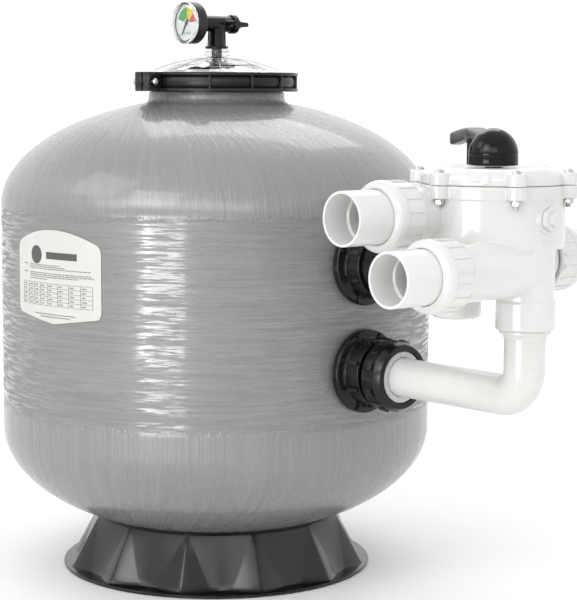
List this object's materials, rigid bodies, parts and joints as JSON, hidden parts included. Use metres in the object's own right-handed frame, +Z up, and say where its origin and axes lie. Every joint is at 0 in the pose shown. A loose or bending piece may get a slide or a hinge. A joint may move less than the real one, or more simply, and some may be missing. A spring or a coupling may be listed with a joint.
{
  "type": "sand filter tank",
  "caption": "Sand filter tank on a pleated foot, with a clear clamped lid, a pressure gauge, wall fittings and a side-mounted selector valve with pipe unions.",
  "frame": {"origin": "centre of the whole part's footprint, at floor level", "axes": "+Z up, +X from the tank's axis to the valve, and the two front unions face -Y"},
  "size_m": [0.818, 0.531, 0.696],
  "materials": {
    "tank": "satin wound laminate",
    "label": "matte printed",
    "foot_plastic": "lightly textured",
    "black_plastic": "semi-gloss",
    "white_plastic": "gloss",
    "clear_plastic": "clear gloss",
    "grey_plastic": "semi-gloss",
    "gauge_face": "printed dial with coloured bands",
    "steel": "stainless",
    "rubber": "matte"
  },
  "bodies": {
    "tank": {"tank_shell": "tank", "neck_ring": "black_plastic", "base_skirt": "foot_plastic", "tank_label": "label", "inlet_diffuser": "white_plastic", "lateral_hub": "white_plastic", "lateral_1": "white_plastic", "lateral_2": "white_plastic", "lateral_3": "white_plastic", "lateral_4": "white_plastic", "lateral_5": "white_plastic", "lateral_6": "white_plastic", "lid": "clear_plastic", "lid_seal": "rubber", "clamp_half_front": "black_plastic", "clamp_half_back": "black_plastic", "clamp_bolt_left": "steel", "clamp_bolt_right": "steel", "gauge_tee": "black_plastic", "gauge_case": "black_plastic", "gauge_lens": "clear_plastic", "gauge_dial": "gauge_face", "lower_bulkhead": "black_plastic", "lower_gasket": "rubber", "lower_lock_nut": "black_plastic", "lower_union_ring": "clear_plastic", "elbow_pipe": "white_plastic", "upper_bulkhead": "black_plastic", "upper_gasket": "rubber", "upper_lock_nut": "black_plastic", "valve_body": "white_plastic", "valve_cover": "white_plastic", "cover_gasket": "rubber", "cover_bolt_1": "steel", "cover_bolt_2": "steel", "cover_bolt_3": "steel", "cover_bolt_4": "steel", "cover_bolt_5": "steel", "cover_bolt_6": "steel", "valve_plug": "white_plastic", "spider_gasket": "rubber", "pump_union_socket": "white_plastic", "return_union_socket": "white_plastic", "waste_union_socket": "white_plastic", "pump_union_seal": "rubber", "return_union_seal": "rubber", "waste_union_seal": "rubber"},
    "selector": {"handle_washer": "steel", "rotor_spring": "steel"},
    "rotor_body": {"rotor": "black_plastic", "handle_pin": "steel"},
    "lever": {"handle_lever": "grey_plastic", "handle_cap": "black_plastic"},
    "bleed": {"bleed_knob": "black_plastic"},
    "needle": {"gauge_needle": "black_plastic"},
    "pump_nut": {"pump_union_nut": "white_plastic"},
    "return_nut": {"return_union_nut": "white_plastic"},
    "waste_nut": {"waste_union_nut": "white_plastic"},
    "lower_nut": {"lower_union_nut": "black_plastic"},
    "upper_nut": {"upper_union_nut": "black_plastic"}
  },
  "joints": [
    {"name": "selector_turn", "type": "hinge", "parent": "tank", "child": "selector", "pos_m": [0.319, 0, 0.512], "axis": [0, 0, 1], "continuous": true},
    {"name": "rotor_lift", "type": "slide", "parent": "selector", "child": "rotor_body", "axis": [0, 0, 1], "range_m": [0, 0.0052], "stiffness_N_per_m": 2000, "springref_m": -0.005, "deforming": ["rotor_spring"]},
    {"name": "lever_tilt", "type": "hinge", "parent": "rotor_body", "child": "lever", "pos_m": [0.319, 0, 0.532], "axis": [-0.4226, -0.9063, 0], "range_deg": [0, 12]},
    {"name": "bleed_turn", "type": "hinge", "parent": "tank", "child": "bleed", "pos_m": [-0.144, 0.02, 0.671], "axis": [0, 1, 0], "range_deg": [0, 360]},
    {"name": "needle_sweep", "type": "hinge", "parent": "tank", "child": "needle", "pos_m": [-0.144, -0.0515, 0.671], "axis": [0, 1, 0], "range_deg": [0, 270]},
    {"name": "pump_nut_spin", "type": "hinge", "parent": "tank", "child": "pump_nut", "pos_m": [0.292, -0.125, 0.463], "axis": [0, 1, 0], "continuous": true},
    {"name": "return_nut_spin", "type": "hinge", "parent": "tank", "child": "return_nut", "pos_m": [0.368, -0.133, 0.4085], "axis": [0, 1, 0], "continuous": true},
    {"name": "waste_nut_spin", "type": "hinge", "parent": "tank", "child": "waste_nut", "pos_m": [0.293, 0.123, 0.407], "axis": [0, 1, 0], "continuous": true},
    {"name": "lower_nut_spin", "type": "hinge", "parent": "tank", "child": "lower_nut", "pos_m": [0.161, 0, 0.272], "axis": [1, 0, 0], "continuous": true},
    {"name": "upper_nut_spin", "type": "hinge", "parent": "tank", "child": "upper_nut", "pos_m": [0.178, 0, 0.3955], "axis": [1, 0, 0], "continuous": true}
  ],
  "couplings": [
    {"joint": "rotor_lift", "follows": "lever_tilt", "m_per_rad": 0.0244}
  ]
}
